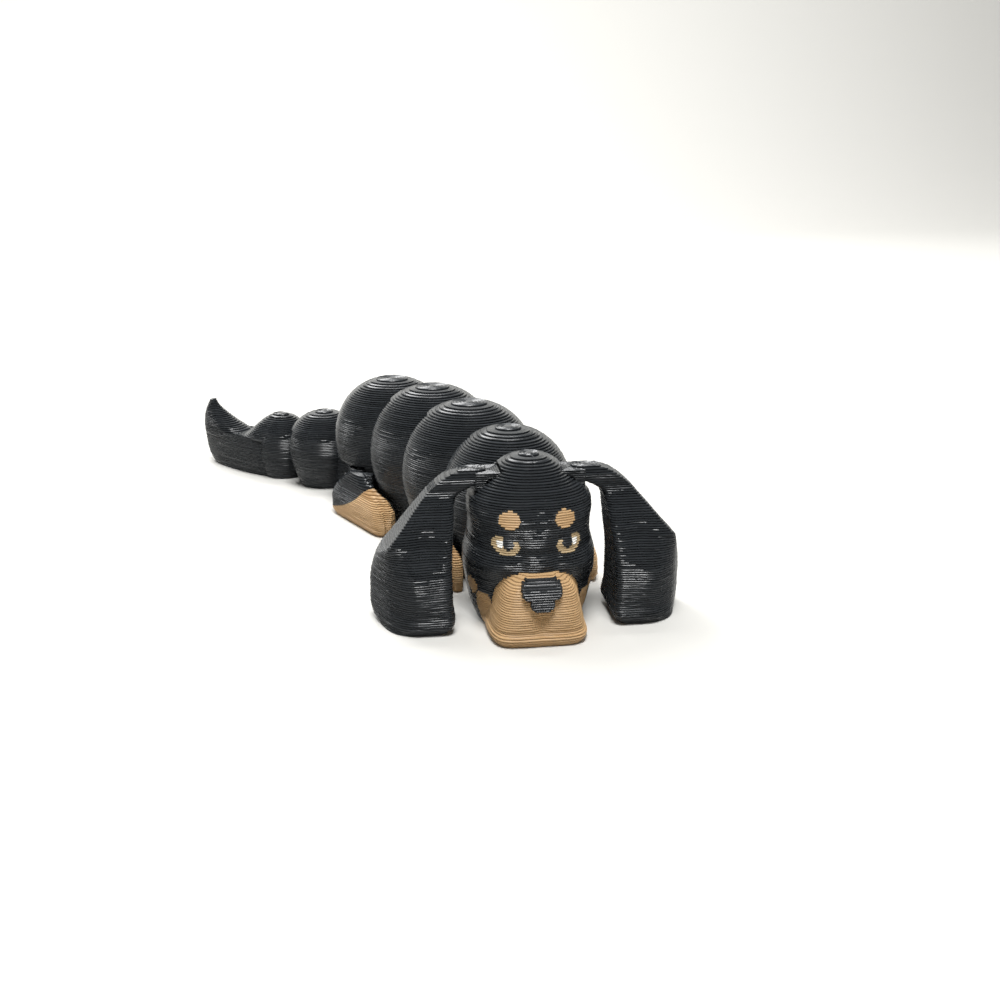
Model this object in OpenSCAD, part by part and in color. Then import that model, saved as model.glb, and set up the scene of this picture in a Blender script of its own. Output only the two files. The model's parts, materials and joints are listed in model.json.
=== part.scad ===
// Articulated dachshund toy, printed in place: bead links turn on captive upright pins.
// The chest stands at the origin with its flat base on z = 0, and faces -Y. The links
// behind it follow along +Y in a gentle curve, and the head lies in front, chin down.

/* [Print] */
// Clearance left between two pieces that move on each other
gap = 0.35; // [0.25:0.05:0.4]
// Wall of each bead around its socket
wall = 1.1; // [0.9:0.1:1.3]
// Thickness of the floor under each socket
floor_t = 1; // [0.8:0.1:1.2]
// Thickness of the roof over each socket
roof_t = 1.2; // [1:0.1:1.5]

/* [Body] */
// Distance from one spine pin to the next
pitch = 9.2; // [9.2:0.1:11]
// Widest radius of the chest bead
chest_r = 6.5; // [6:0.1:6.8]
// Height of the chest bead
chest_h = 15; // [14:0.1:17]
// Widest radius of the two middle beads
mid_r = 7.2; // [6.6:0.1:7.2]
// Height of the two middle beads
mid_h = 15.7; // [14:0.1:18]
// Widest radius of the hip bead
hip_r = 7; // [6.6:0.1:7.2]
// Height of the hip bead
hip_h = 15.1; // [14:0.1:17]
// Radius that every bead narrows to on the floor
base_r = 4.4; // [4:0.1:4.8]
// Radius of the spine pins
pin_r = 1; // [0.8:0.1:1.1]
// Radius of the narrow lower part of each spine socket
stem_r = 2.7; // [2.5:0.1:2.8]
// Height at which each spine socket starts to widen
stem_top = 6.4; // [6.2:0.1:7]
// Largest bend of a spine joint, either way from straight
spine_turn = 20; // [10:1:20]

/* [Rest pose] */
// Turn of the head from straight
neck_bend = -2.5; // [-10:0.5:10]
// Turn of the front middle bead behind the chest
front_bend = 15.5; // [0:0.5:16]
// Turn of the rear middle bead behind the front one
middle_bend = 2; // [0:1:15]
// Turn of the hips behind the rear middle bead
rear_bend = 7; // [0:1:15]
// Turn of the tail base behind the hips
tail_bend = 22; // [0:1:24]
// Turn of the tail tip behind the tail base
tip_bend = 3; // [0:1:20]

/* [Head] */
// Widest radius of the skull
skull_r = 5.95; // [5.8:0.05:6.4]
// Height of the skull
skull_h = 15; // [14.5:0.1:16]
// Radius of the jaw where it lies on the floor
jaw_r = 4.7; // [4.4:0.1:5]
// Distance from the chest pin to the neck pin
neck_reach = 8.6; // [8.6:0.1:10]
// Distance from the neck pin forward to the middle of the skull
skull_ahead = 1; // [0.8:0.1:1.5]
// Distance from the middle of the skull to the front of the lip
muzzle_reach = 8.2; // [7.8:0.1:9.5]
// Width of the lip
lip_w = 8.6; // [8:0.1:9]
// Width of the muzzle at the nose
muzzle_w = 7.2; // [6.6:0.1:7.6]
// Height of the muzzle
muzzle_h = 6; // [5.6:0.1:6.4]
// Width of the nose
nose_w = 3.5; // [3:0.1:4]
// Height of the nose
nose_h = 2.7; // [2.3:0.1:3]
// Diameter of the brow spots
brow_d = 1.9; // [1.6:0.1:2.2]
// Height of the cheek spots
cheek_d = 1.7; // [1.4:0.1:2]
// Width of the eyes
eye_w = 2.3; // [2:0.1:2.6]
// Diameter of the pupils
pupil_d = 1.25; // [1:0.05:1.4]
// Diameter of the white glint in each eye
glint_d = 0.6; // [0.5:0.05:0.7]
// How far the coloured spots stand out of the skull
proud = 0.15; // [0.1:0.05:0.2]

/* [Ears] */
// Room between the widest part of the skull and the inside of an ear
ear_room = 1.25; // [0.9:0.05:2]
// Width of an ear on the floor
ear_w = 7.2; // [6.7:0.1:8.5]
// Depth of an ear on the floor, front to back
ear_depth = 5.8; // [5:0.1:6.2]
// Radius of the barrel that each ear turns on
barrel_r = 1.3; // [1.2:0.05:1.35]
// Length of the barrel
barrel_l = 2.8; // [2.4:0.1:3]
// Radius of the ear pins
ear_pin_r = 0.5; // [0.4:0.05:0.55]

/* [Legs] */
// Distance from the middle of a bead to its leg pin, sideways
leg_side = 5.2; // [5.1:0.1:5.3]
// Radius of the leg pins
leg_pin_r = 0.6; // [0.5:0.05:0.65]
// Radius of the eye of each leg around its pin
leg_eye_r = 1.5; // [1.45:0.05:1.55]
// Height of the legs at the cuff
leg_h = 5.3; // [5:0.1:5.4]
// Height of the paws
paw_h = 4.4; // [4:0.1:4.8]
// Width from the middle of the hips to the outside of a hind leg
hind_out = 9; // [8.8:0.1:9.4]
// Reach of a hind paw in front of the hip pin
hind_reach = 12.2; // [11:0.1:12.4]
// Width from the middle of the chest to the outside of a front leg
fore_out = 8.4; // [8:0.1:8.6]
// Reach of a front paw in front of the chest pin
fore_reach = 4.8; // [4:0.1:4.9]

/* [Tail] */
// Widest radius of the tail base
tail_r = 4.7; // [4.4:0.1:5]
// Height of the tail base
tail_h = 9.4; // [8.8:0.1:10]
// Distance from the middle of the hips back to the tail pin
tail_back = 2; // [1.8:0.1:2.4]
// Distance from the tail pin to the middle of the tail base
tail_reach = 10; // [10:0.1:11]
// Radius of the hump on the tail tip
hump_r = 3.4; // [3:0.1:3.5]
// Height of the hump
hump_h = 8.2; // [7.6:0.1:8.6]
// Distance from the tip pin to the hump
hump_reach = 7; // [7:0.1:8]
// Distance from the tip pin to the end of the tail
tip_reach = 21.1; // [19:0.1:24]
// Height of the tail's point
tip_h = 8.7; // [7:0.1:10]
// Radius of the tail tip's pin
tip_pin_r = 0.7; // [0.6:0.05:0.75]
// Largest bend of a tail joint, either way from straight
tail_turn = 26; // [15:1:26]

/* [Hidden] */
$fn = 64;
black = "#26282a";
tan = "#c19b68";
ivory = "#e8dcc8";
far = 30; // reaches past everything it cuts
layers = 9; // bands in the lower and in the upper half of a bead
dome_power = 2.2; // how square the shoulders of a bead are
foot_power = 1.6; // how a bead narrows down to the floor

// ---- Bead outlines, as half widths on a vertical axis ----

function half_width(z, r, h, base) = z < h / 2
    ? base + (r - base) * (1 - pow(1 - 2 * z / h, foot_power))
    : r * pow(max(0, 1 - pow(2 * z / h - 1, dome_power)), 1 / dome_power);

// heights that crowd together towards the top, where the outline turns in
function level(i, h) = i <= layers ? h / 2 * i / layers : h / 2 + h / 2 * sin(90 * (i - layers) / layers);

module bead(r, h, base = base_r)
    rotate_extrude()
        polygon(concat([[0, 0]], [for (i = [0 : 2 * layers - 1]) [
            half_width(level(i, h), r, h, base), level(i, h)]], [[0, h]]));

// the hollow of a socket, or with shrink the ball that turns in it
module socket(r, h, stem = stem_r, stem_z = stem_top, shrink = 0) {
    mid = h / 2 + 0.4 * shrink;
    top = h - roof_t - shrink;
    wide = r - wall - shrink;
    steps = 8;
    rotate_extrude()
        polygon(concat(
            [[0, floor_t + shrink], [stem - shrink, floor_t + shrink],
                [stem - shrink, stem_z + 0.4 * shrink]],
            [for (i = [0 : steps - 1]) [
                wide * pow(1 - pow(sin(90 * i / steps), dome_power), 1 / dome_power),
                mid + (top - mid) * sin(90 * i / steps)]],
            [[0, top]]));
}

// what the next bead sweeps through as it turns about this pin
module swing_cut(reach, r, h, base, half_angle)
    rotate([0, 0, 90 - half_angle])
        rotate_extrude(angle = 2 * half_angle)
            polygon(concat(
                [[reach - base - gap, -1]],
                [for (i = [0 : 2 * layers - 1]) [
                    reach - half_width(level(i, h), r, h, base) - gap, level(i, h)]],
                [[reach, h + gap], [far, h + gap], [far, -1]]));

// a slice of a ring, open towards +Y
module sector(r_in, z0, z1, half_angle)
    translate([0, 0, z0])
        rotate([0, 0, 90 - half_angle])
            rotate_extrude(angle = 2 * half_angle)
                translate([r_in, 0]) square([far, z1 - z0]);

module pin(r, top)
    translate([0, 0, floor_t / 2]) cylinder(h = top - floor_t / 2, r = r);

module bore(r)
    translate([0, 0, -1]) cylinder(h = far, r = r + gap);

// angle at which the next bead meets this bead's wall
function meet(r_wall, reach, r_next) =
    acos((pow(r_wall, 2) + pow(reach, 2) - pow(r_next + gap, 2)) / (2 * r_wall * reach));

// ---- Where each link stands ----

module at_neck()
    translate([0, -neck_reach, 0]) rotate([0, 0, neck_bend]) children();

module at_skull()
    at_neck() translate([0, -skull_ahead, 0]) children();

module at_mid_front()
    rotate([0, 0, front_bend]) translate([0, pitch, 0]) children();

module at_mid_rear()
    at_mid_front() rotate([0, 0, middle_bend]) translate([0, pitch, 0]) children();

module at_hips()
    at_mid_rear() rotate([0, 0, rear_bend]) translate([0, pitch, 0]) children();

module at_tail_pin()
    at_hips() translate([0, tail_back, 0]) rotate([0, 0, tail_bend]) children();

module at_tip_pin()
    at_tail_pin() translate([0, tail_reach, 0]) rotate([0, 0, tip_bend]) children();

// ---- Spine links ----

// a bead with a socket and pin for the link behind it
module cup_link(r, h, next_r, next_h) {
    difference() {
        union() {
            children();
            bead(r, h);
        }
        socket(r, h);
        swing_cut(pitch, next_r, next_h, base_r, meet(r - wall, pitch, next_r) + spine_turn + 1);
    }
    pin(pin_r, h - roof_t / 2);
}

// the ball at the front of a link, which turns in the socket of the link ahead
module ball(r, h, reach, bore_r, stem_z = stem_top)
    translate([0, -reach, 0])
        difference() {
            socket(r, h, stem_r, stem_z, gap);
            bore(bore_r);
        }

// ---- Leg roots on the chest and hips ----

// each leg pin stands on a round foot, joined to the bead's floor
pin_foot_r = leg_pin_r + 0.8;
pin_foot_h = floor_t - 0.1;

module leg_pins(y)
    for (side = [0, 1]) mirror([side, 0, 0]) translate([leg_side, y, 0]) {
        cylinder(h = leg_h + 1, r = leg_pin_r);
        cylinder(h = pin_foot_h, r = pin_foot_r);
        translate([-leg_side / 2, -1, 0]) cube([leg_side / 2, 2, pin_foot_h]);
    }

// room for the eye of a leg, and for its arm as it swings out
module leg_pockets(y)
    for (side = [0, 1]) mirror([side, 0, 0]) translate([leg_side, y, pin_foot_h]) {
        pocket_h = leg_h + gap - pin_foot_h;
        cylinder(h = pocket_h, r = leg_eye_r + gap);
        linear_extrude(pocket_h)
            polygon(concat([[0, 0]], [for (a = [-60 : 31 : 95]) 6 * [cos(a), sin(a)]]));
    }

neck_socket_r = skull_r - 0.1;
neck_socket_h = 11.6; // top of the roof over the neck socket
neck_stem_z = stem_top - 1.8; // this socket is lower, and starts to widen lower down
fore_pin_y = 0; // leg pins, measured back from the middle of their bead
hind_pin_y = -1.5;

module chest()
    color(black) {
        difference() {
            cup_link(chest_r, chest_h, mid_r, mid_h)
                ball(neck_socket_r, neck_socket_h, neck_reach, pin_r, neck_stem_z);
            leg_pockets(fore_pin_y);
        }
        leg_pins(fore_pin_y);
    }

module mid_front()
    color(black) at_mid_front()
        cup_link(mid_r, mid_h, mid_r, mid_h)
            ball(chest_r, chest_h, pitch, pin_r);

module mid_rear()
    color(black) at_mid_rear()
        cup_link(mid_r, mid_h, hip_r, hip_h)
            ball(mid_r, mid_h, pitch, pin_r);

tail_socket_r = 5.3; // outside of the wall around the tail socket
tail_socket_h = 9.6;
tail_neck_w = 4.4;
tail_neck_top = 6.6;
tail_stem_r = tail_socket_r - wall; // this socket has no narrow lower part
tail_stem_z = 3;

module hips()
    color(black) at_hips() {
        difference() {
            union() {
                ball(mid_r, mid_h, pitch, pin_r);
                bead(hip_r, hip_h);
            }
            leg_pockets(hind_pin_y);
            translate([0, tail_back, 0]) {
                socket(tail_socket_r, tail_socket_h, tail_stem_r, tail_stem_z);
                swing_cut(tail_reach, tail_r, tail_h, tail_base_r,
                    meet(hip_r - 1, tail_reach, tail_r) + tail_turn + 1);
                sector(tail_slot_r, floor_t, tail_neck_top + gap, tail_neck_angle);
            }
        }
        leg_pins(hind_pin_y);
        translate([0, tail_back, 0]) pin(pin_r, tail_socket_h);
    }

tail_base_r = 3.4; // the tail base narrows to this on the floor
tail_slot_r = tail_stem_r - 0.8; // the slot for the neck starts inside the socket
tail_neck_angle = asin(tail_neck_w / 2 / tail_slot_r) + tail_turn + 5;

module tail_base()
    color(black) at_tail_pin() {
        difference() {
            union() {
                difference() {
                    union() {
                        socket(tail_socket_r, tail_socket_h, tail_stem_r, tail_stem_z, gap);
                        translate([-tail_neck_w / 2, 0, floor_t + gap])
                            cube([tail_neck_w, tail_reach, tail_neck_top - floor_t - gap]);
                    }
                    bore(pin_r);
                }
                translate([0, tail_reach, 0]) bead(tail_r, tail_h, tail_base_r);
            }
            translate([0, tail_reach, 0]) {
                socket(tail_r, tail_h, tip_stem_r, tip_stem_z);
                swing_cut(hump_reach, hump_r, hump_h, hump_base_r, tip_open_angle);
                sector(tip_stem_r, tip_neck_z[0] - gap, tip_neck_z[1] + gap, tip_open_angle);
            }
        }
        translate([0, tail_reach, 0]) pin(tip_pin_r, tail_h - roof_t / 2);
    }

tip_stem_r = 2.1;
tip_stem_z = 2.8;
tip_neck_w = 2.6;
tip_neck_z = [4, 6.6]; // the underside and the top of the neck
hump_base_r = 2.6;
tip_open_angle = meet(tail_r, hump_reach, hump_r) + tail_turn + 1;

// the side of the tail, from the hump's crest to the upturned point
function tail_side() = concat(
    [[hump_reach - 1, 0], [hump_reach - 1, hump_h - 0.4], [hump_reach + 0.8, hump_h - 0.1]],
    [[hump_reach + 3, hump_h - 0.9], [hump_reach + 4.6, hump_h - 2.4], [tip_reach - 8, 5.1],
        [tip_reach - 6.6, 5.3], [tip_reach - 5, tip_h - 2.6], [tip_reach - 3.6, tip_h - 1.2],
        [tip_reach - 1.9, tip_h]],
    [[tip_reach - 0.9, tip_h - 1.4], [tip_reach - 0.2, tip_h - 3], [tip_reach, tip_h - 4.6],
        [tip_reach - 0.1, 2.6], [tip_reach - 0.8, 1.1], [tip_reach - 2.1, 0]]);

// the tail from above, which narrows from the hump to the point
function tail_plan() = [for (side = [1, -1]) for (i = side > 0 ? [0 : 6] : [6 : -1 : 0])
    [side * (0.6 + (hump_r - 0.7) * cos(13 * i)), hump_reach - 1 + (tip_reach - hump_reach + 1) * i / 6]];

module tail_tip()
    color(black) at_tip_pin() {
        difference() {
            union() {
                socket(tail_r, tail_h, tip_stem_r, tip_stem_z, gap);
                translate([0, hump_reach, 0]) bead(hump_r, hump_h, hump_base_r);
                translate([-tip_neck_w / 2, 0, tip_neck_z[0]])
                    cube([tip_neck_w, hump_reach, tip_neck_z[1] - tip_neck_z[0]]);
            }
            bore(tip_pin_r);
        }
        intersection() {
            rotate([90, 0, 90]) linear_extrude(far, center = true) polygon(tail_side());
            linear_extrude(far) polygon(tail_plan());
        }
    }

// ---- Head ----

module skull(grow = 0)
    scale((skull_r + grow) / skull_r) bead(skull_r, skull_h, jaw_r);

// the block of the muzzle, with the wider lip under it
module snout() {
    front_y = -muzzle_reach;
    intersection() {
        rotate([90, 0, 0]) linear_extrude(far)
            polygon(concat(
                [[lip_w / 2, 0], [lip_w / 2, 1.3], [muzzle_w / 2 + 0.2, 1.8], [muzzle_w / 2, muzzle_h - 1.8]],
                [for (a = [20 : 20 : 160]) [
                    (muzzle_w / 2 - 0.2) * cos(a), muzzle_h - 1.8 + 1.8 * sin(a)]],
                [[-muzzle_w / 2, muzzle_h - 1.8], [-muzzle_w / 2 - 0.2, 1.8], [-lip_w / 2, 1.3],
                    [-lip_w / 2, 0]]));
        linear_extrude(far)
            polygon(concat(
                [[-lip_w / 2, snout_root_y]],
                [for (a = [0 : 15 : 90]) [-lip_w / 2 + 1.6 - 1.6 * cos(a), front_y + 1.6 - 1.6 * sin(a)]],
                [for (a = [90 : -15 : 0]) [lip_w / 2 - 1.6 + 1.6 * cos(a), front_y + 1.6 - 1.6 * sin(a)]],
                [[lip_w / 2, snout_root_y]]));
    }
}

snout_root_y = -4.9; // the muzzle is let into the skull as far as this
jowl_y = -2.6; // the tan of the jaw starts here
jowl_h = 3.4;

module jowl_box()
    translate([-far / 2, -far, -1]) cube([far, far + jowl_y, jowl_h + 1]);

module jowls()
    intersection() {
        skull();
        jowl_box();
    }

module nose_shape()
    translate([0, -muzzle_reach - 0.4, 3.2]) rotate([90, 0, 180])
        linear_extrude(1.8)
            polygon([for (p = [[0.3, 0], [0.6, 0.8], [0.96, 1.3], [1, 1.9], [0.8, 2.5], [0.5, 2.7],
                [-0.5, 2.7], [-0.8, 2.5], [-1, 1.9], [-0.96, 1.3], [-0.6, 0.8], [-0.3, 0]])
                [p[0] * nose_w / 2, p[1] * nose_h / 2.7]]);

let_in = 2; // the coloured spots are let in to this far inside the skull's radius
eye_z = 8.5;
eye_x = 2.75;
brow_z = 10.4;
brow_x = 2.4;
cheek_z = 3.7;
cheek_y = -2.2;

// each coloured spot is its cutter, kept to just proud of the skull
module inlaid()
    intersection() {
        skull(proud);
        children();
    }

module brow_cut()
    for (side = [-1, 1]) translate([side * brow_x, let_in - skull_r, brow_z])
        rotate([90, 0, 0]) cylinder(h = far, d = brow_d);

module cheek_cut()
    for (side = [0, 1]) mirror([side, 0, 0]) translate([skull_r - let_in, cheek_y, cheek_z])
        rotate([0, 90, 0]) cylinder(h = far, d = cheek_d);

// an almond shape, pointed at both corners
module eye_cut()
    for (side = [-1, 1]) translate([side * eye_x, let_in - skull_r, eye_z]) rotate([90, 0, 0])
        intersection() {
            translate([0, 0.45, 0]) cylinder(h = far, r = eye_w / 2 + 0.05);
            translate([0, -0.45, 0]) cylinder(h = far, r = eye_w / 2 + 0.05);
        }

module pupil_cut()
    for (side = [-1, 1]) translate([side * (eye_x - 0.15), 0, eye_z + 0.1])
        rotate([90, 0, 0]) cylinder(h = far, d = pupil_d);

module glint_cut()
    for (side = [-1, 1]) translate([side * (eye_x + 0.35), 0, eye_z + 0.15])
        rotate([90, 0, 0]) cylinder(h = far, d = glint_d);

// ---- Ear hinges, one each side near the crown ----

barrel_x = skull_r - 2.65;
barrel_z = skull_h - 2.6;
ear_in = skull_r + ear_room; // the inside and the outside of an ear at the floor
ear_out = ear_in + ear_w;

module ear_slots()
    for (side = [0, 1]) mirror([side, 0, 0])
        translate([barrel_x, barrel_l / 2 + gap, barrel_z]) rotate([90, 0, 0]) {
            cylinder(h = barrel_l + 2 * gap, r = barrel_r + gap);
            linear_extrude(barrel_l + 2 * gap)
                polygon([[0, -barrel_r - gap], [far / 3, -barrel_r - gap], [far / 3, far / 3],
                    [0.1 - barrel_r, far / 3], [0.1 - barrel_r, 0]]);
        }

module ear_pins()
    for (side = [-1, 1]) translate([side * barrel_x, barrel_l / 2 + gap + 0.5, barrel_z])
        rotate([90, 0, 0]) cylinder(h = barrel_l + 2 * gap + 1, r = ear_pin_r);

module head_shell()
    color(black) {
        at_skull() {
            difference() {
                skull();
                jowl_box();
                snout();
                brow_cut();
                cheek_cut();
                eye_cut();
                ear_slots();
                translate([0, skull_ahead, 0]) {
                    socket(neck_socket_r, neck_socket_h, stem_r, neck_stem_z);
                    swing_cut(neck_reach, chest_r, chest_h, base_r,
                        meet(skull_r - 1, neck_reach, chest_r) + spine_turn + 2);
                }
            }
            ear_pins();
        }
        at_neck() pin(pin_r, neck_socket_h);
    }

module muzzle()
    color(tan) at_skull()
        difference() {
            union() {
                jowls();
                snout();
            }
            nose_shape();
            cheek_cut();
            translate([0, skull_ahead, 0])
                socket(neck_socket_r, neck_socket_h, stem_r, neck_stem_z);
        }

module nose() color(black) at_skull() nose_shape();

module brow_spots() color(tan) at_skull() inlaid() brow_cut();

module cheek_spots() color(tan) at_skull() inlaid() cheek_cut();

module eye_whites()
    color(ivory) at_skull() difference() {
        inlaid() eye_cut();
        pupil_cut();
        glint_cut();
    }

module pupils()
    color(black) at_skull() difference() {
        intersection() {
            inlaid() eye_cut();
            pupil_cut();
        }
        glint_cut();
    }

module eye_glints()
    color("white") at_skull() intersection() {
        inlaid() eye_cut();
        glint_cut();
    }

// an ear from the front: it arches out of its barrel and hangs to the floor
function ear_front() = concat(
    [[barrel_x, barrel_z - 0.6], [barrel_x, barrel_z + barrel_r - 0.1],
        [barrel_x + 2.5, barrel_z + 1.4]],
    [for (a = [75 : -15 : 0]) [ear_out - 8.4 + 5.6 * cos(a), barrel_z - 4.8 + 6.2 * sin(a)]],
    [[ear_out - 1.3, 6.9], [ear_out - 0.4, 5.2], [ear_out, 2.6], [ear_out, 0.8], [ear_out - 0.6, 0]],
    [[ear_in + 0.5, 0], [ear_in, 0.8], [ear_in, 6.5], [ear_in - 0.1, 9.4], [ear_in - 0.5, 10.8],
        [ear_in - 1.2, 11.6]]);

// an ear from the side: narrow at the crown, deep at the floor
ear_front_y = -4.9;

function ear_profile() = [
    [-barrel_l / 2, barrel_z + 4], [-barrel_l / 2, barrel_z - 0.5], [-3.1, 9], [-4.5, 5],
    [ear_front_y, 1.8], [ear_front_y, 0.6], [ear_front_y + 0.5, 0],
    [ear_front_y + ear_depth - 0.5, 0], [ear_front_y + ear_depth, 0.6],
    [ear_front_y + ear_depth, 6], [barrel_l / 2, 10], [barrel_l / 2, barrel_z + 4]];

// the dog's own left is +X, side 1
module ear(side)
    color(black) at_skull() mirror([side < 0 ? 1 : 0, 0, 0]) difference() {
        union() {
            intersection() {
                rotate([90, 0, 0]) linear_extrude(2 * far, center = true) polygon(ear_front());
                rotate([90, 0, 90]) linear_extrude(far) polygon(ear_profile());
                linear_extrude(far) polygon([[0, ear_front_y], [ear_out - 2.4, ear_front_y],
                    [ear_out, ear_front_y + ear_depth - 0.6], [ear_out, far], [0, far]]);
            }
            translate([barrel_x, barrel_l / 2, barrel_z]) rotate([90, 0, 0])
                cylinder(h = barrel_l, r = barrel_r);
        }
        translate([barrel_x, far / 2, barrel_z]) rotate([90, 0, 0])
            cylinder(h = far, r = ear_pin_r + gap * 0.7);
    }

// ---- Legs ----

// a leg from above and from the side, before it is fitted to the beads beside it
module limb(pin_y, out, reach, heel)
    intersection() {
        linear_extrude(leg_h)
            polygon(concat(
                [[leg_side, heel], [out - 0.8, heel], [out, heel - 0.8]],
                [for (a = [0 : 30 : 90]) [out - 1.8 + 1.8 * cos(a), -reach + 1.8 - 1.8 * sin(a)]],
                [[leg_side, -reach]]));
        rotate([90, 0, 90]) linear_extrude(far)
            polygon([[heel, 0], [heel, leg_h - 0.8], [heel - 0.8, leg_h], [pin_y - 2, leg_h],
                [pin_y - 3.6, paw_h + 0.2], [-reach + 2.4, paw_h - 0.3], [-reach + 0.9, paw_h - 1.1],
                [-reach, paw_h - 2.4], [-reach, 0]]);
    }

// the whole leg: children are the room that the beads beside it need
module leg_solid(pin_y, out, reach, heel)
    difference() {
        union() {
            difference() {
                limb(pin_y, out, reach, heel);
                children();
            }
            translate([leg_side, pin_y, floor_t + gap])
                cylinder(h = leg_h - floor_t - gap, r = leg_eye_r);
            translate([leg_side, pin_y - 1.2, floor_t + gap])
                cube([out - leg_side - 0.8, 2.4, leg_h - floor_t - gap]);
        }
        translate([leg_side, pin_y, -1]) {
            cylinder(h = far, r = leg_pin_r + gap);
            cylinder(h = pin_foot_h + gap + 1, r = pin_foot_r + gap);
        }
    }

// the room that a bead needs beside a leg
module room(r, h) cylinder(h = far, r = half_width(leg_h, r, h, base_r) + gap);

module fore_leg_solid()
    leg_solid(fore_pin_y, fore_out, fore_reach, fore_pin_y + 1) room(chest_r, chest_h);

module hind_leg_solid()
    leg_solid(hind_pin_y, hind_out, hind_reach, hind_pin_y + 2) {
        room(hip_r, hip_h);
        translate([0, -pitch, 0]) {
            room(mid_r, mid_h);
            rotate([0, 0, spine_turn]) translate([0, -pitch, 0]) room(mid_r, mid_h);
        }
    }

// the part of a leg that is tan: below a line that rises towards the toes
module tan_part(top_y, slope)
    rotate([90, 0, 90]) linear_extrude(far)
        polygon([[top_y + slope, -1], [top_y + slope, 0.4], [top_y + slope / 3, paw_h / 2],
            [top_y, far], [-far, far], [-far, -1]]);

fore_tan_y = -2.6; // where the top of a front paw starts
hind_tan_y = -8;

module fore_leg(side)
    color(black) mirror([side < 0 ? 1 : 0, 0, 0]) difference() {
        fore_leg_solid();
        tan_part(fore_tan_y, 1.2);
    }

module fore_paw(side)
    color(tan) mirror([side < 0 ? 1 : 0, 0, 0]) intersection() {
        fore_leg_solid();
        tan_part(fore_tan_y, 1.2);
    }

module hind_leg(side)
    color(black) at_hips() mirror([side < 0 ? 1 : 0, 0, 0]) difference() {
        hind_leg_solid();
        tan_part(hind_tan_y, 4.5);
    }

module hind_paw(side)
    color(tan) at_hips() mirror([side < 0 ? 1 : 0, 0, 0]) intersection() {
        hind_leg_solid();
        tan_part(hind_tan_y, 4.5);
    }

head_shell();
muzzle();
nose();
brow_spots();
cheek_spots();
eye_whites();
pupils();
eye_glints();
ear(1);  // left_ear
ear(-1);  // right_ear
chest();
mid_front();
mid_rear();
hips();
tail_base();
tail_tip();
fore_leg(1);  // front_left_leg
fore_paw(1);  // front_left_paw
fore_leg(-1);  // front_right_leg
fore_paw(-1);  // front_right_paw
hind_leg(1);  // hind_left_leg
hind_paw(1);  // hind_left_paw
hind_leg(-1);  // hind_right_leg
hind_paw(-1);  // hind_right_paw
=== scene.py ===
# %% [markdown]
# # An articulated dachshund, printed in place
#
# The real toy is one print: a row of beads in black filament, each holding the ball of the
# next on an upright pin, with a head, two hinged ears, four short legs and a tail. We load
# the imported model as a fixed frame, then build each piece again with the surface that a
# printer leaves, layer on layer, and make it ride on the body that it belongs to.

# %% Load the frame
import json
import math
import time

import bmesh
import bpy
import numpy as np
from mathutils import Matrix, Vector


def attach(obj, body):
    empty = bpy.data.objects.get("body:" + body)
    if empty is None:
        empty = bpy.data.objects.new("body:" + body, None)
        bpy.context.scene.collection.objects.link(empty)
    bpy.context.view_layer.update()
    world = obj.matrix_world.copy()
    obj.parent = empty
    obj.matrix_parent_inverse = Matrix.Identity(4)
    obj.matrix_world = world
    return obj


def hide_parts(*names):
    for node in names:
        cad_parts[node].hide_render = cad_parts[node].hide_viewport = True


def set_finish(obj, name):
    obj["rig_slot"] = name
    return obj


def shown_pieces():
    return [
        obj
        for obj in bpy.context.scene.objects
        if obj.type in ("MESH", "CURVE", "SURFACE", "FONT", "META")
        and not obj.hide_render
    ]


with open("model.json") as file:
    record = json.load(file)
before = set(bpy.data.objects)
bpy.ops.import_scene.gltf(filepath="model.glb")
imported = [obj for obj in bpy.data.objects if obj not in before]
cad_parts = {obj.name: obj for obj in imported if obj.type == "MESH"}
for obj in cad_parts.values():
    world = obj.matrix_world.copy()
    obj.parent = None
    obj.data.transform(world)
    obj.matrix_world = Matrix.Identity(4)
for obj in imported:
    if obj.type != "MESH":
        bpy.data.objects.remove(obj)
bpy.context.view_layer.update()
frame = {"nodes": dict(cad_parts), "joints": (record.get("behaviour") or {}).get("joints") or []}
started = time.time()

# %% [markdown]
# ## Where each link stands
#
# The joints of the frame are the pins that the links turn on, so they say where each link
# is and which way it points. A link is modelled in millimetres round its own middle, facing
# -Y, and only then turned, moved and scaled into place. That keeps every shape simple.

# %% Read the pins
MM = 0.001
pins = {joint["name"]: Vector(joint["pos_m"]) / MM for joint in frame["joints"]}


def heading(front, back):
    """The turn about Z that points a link's own +Y from its front pin to its back pin."""
    step = back - front
    return math.atan2(-step.x, step.y)


def turned(angle):
    return Matrix.Rotation(angle, 4, "Z")


neck, front_pin = pins["neck_turn"], pins["front_spine_bend"]
middle_pin, rear_pin = pins["middle_spine_bend"], pins["rear_spine_bend"]
tail_pin, tip_pin = pins["tail_root_bend"], pins["tail_tip_bend"]
skull_middle = (pins["left_ear_lift"] + pins["right_ear_lift"]) / 2
skull_middle.z = 0
head_turn = heading(skull_middle, neck)
hips_turn = heading(rear_pin, tail_pin)
tail_turn = heading(tail_pin, tip_pin)
TIP_BEND = math.radians(3)
TAIL_BACK = 2.0
hips_middle = tail_pin - turned(hips_turn) @ Vector((0, TAIL_BACK, 0))

links = {
    "head": (skull_middle, head_turn),
    "chest": (front_pin, 0.0),
    "mid_front": (middle_pin, heading(front_pin, middle_pin)),
    "mid_rear": (rear_pin, heading(middle_pin, rear_pin)),
    "hips": (hips_middle, hips_turn),
    "tail_base": (tip_pin, tail_turn),
    "tail_tip": (tip_pin, tail_turn + TIP_BEND),
}
for name, (spot, turn) in links.items():
    print(f"{name}: ({spot.x:.2f}, {spot.y:.2f}) mm, turned {math.degrees(turn):.1f} degrees")

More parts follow.
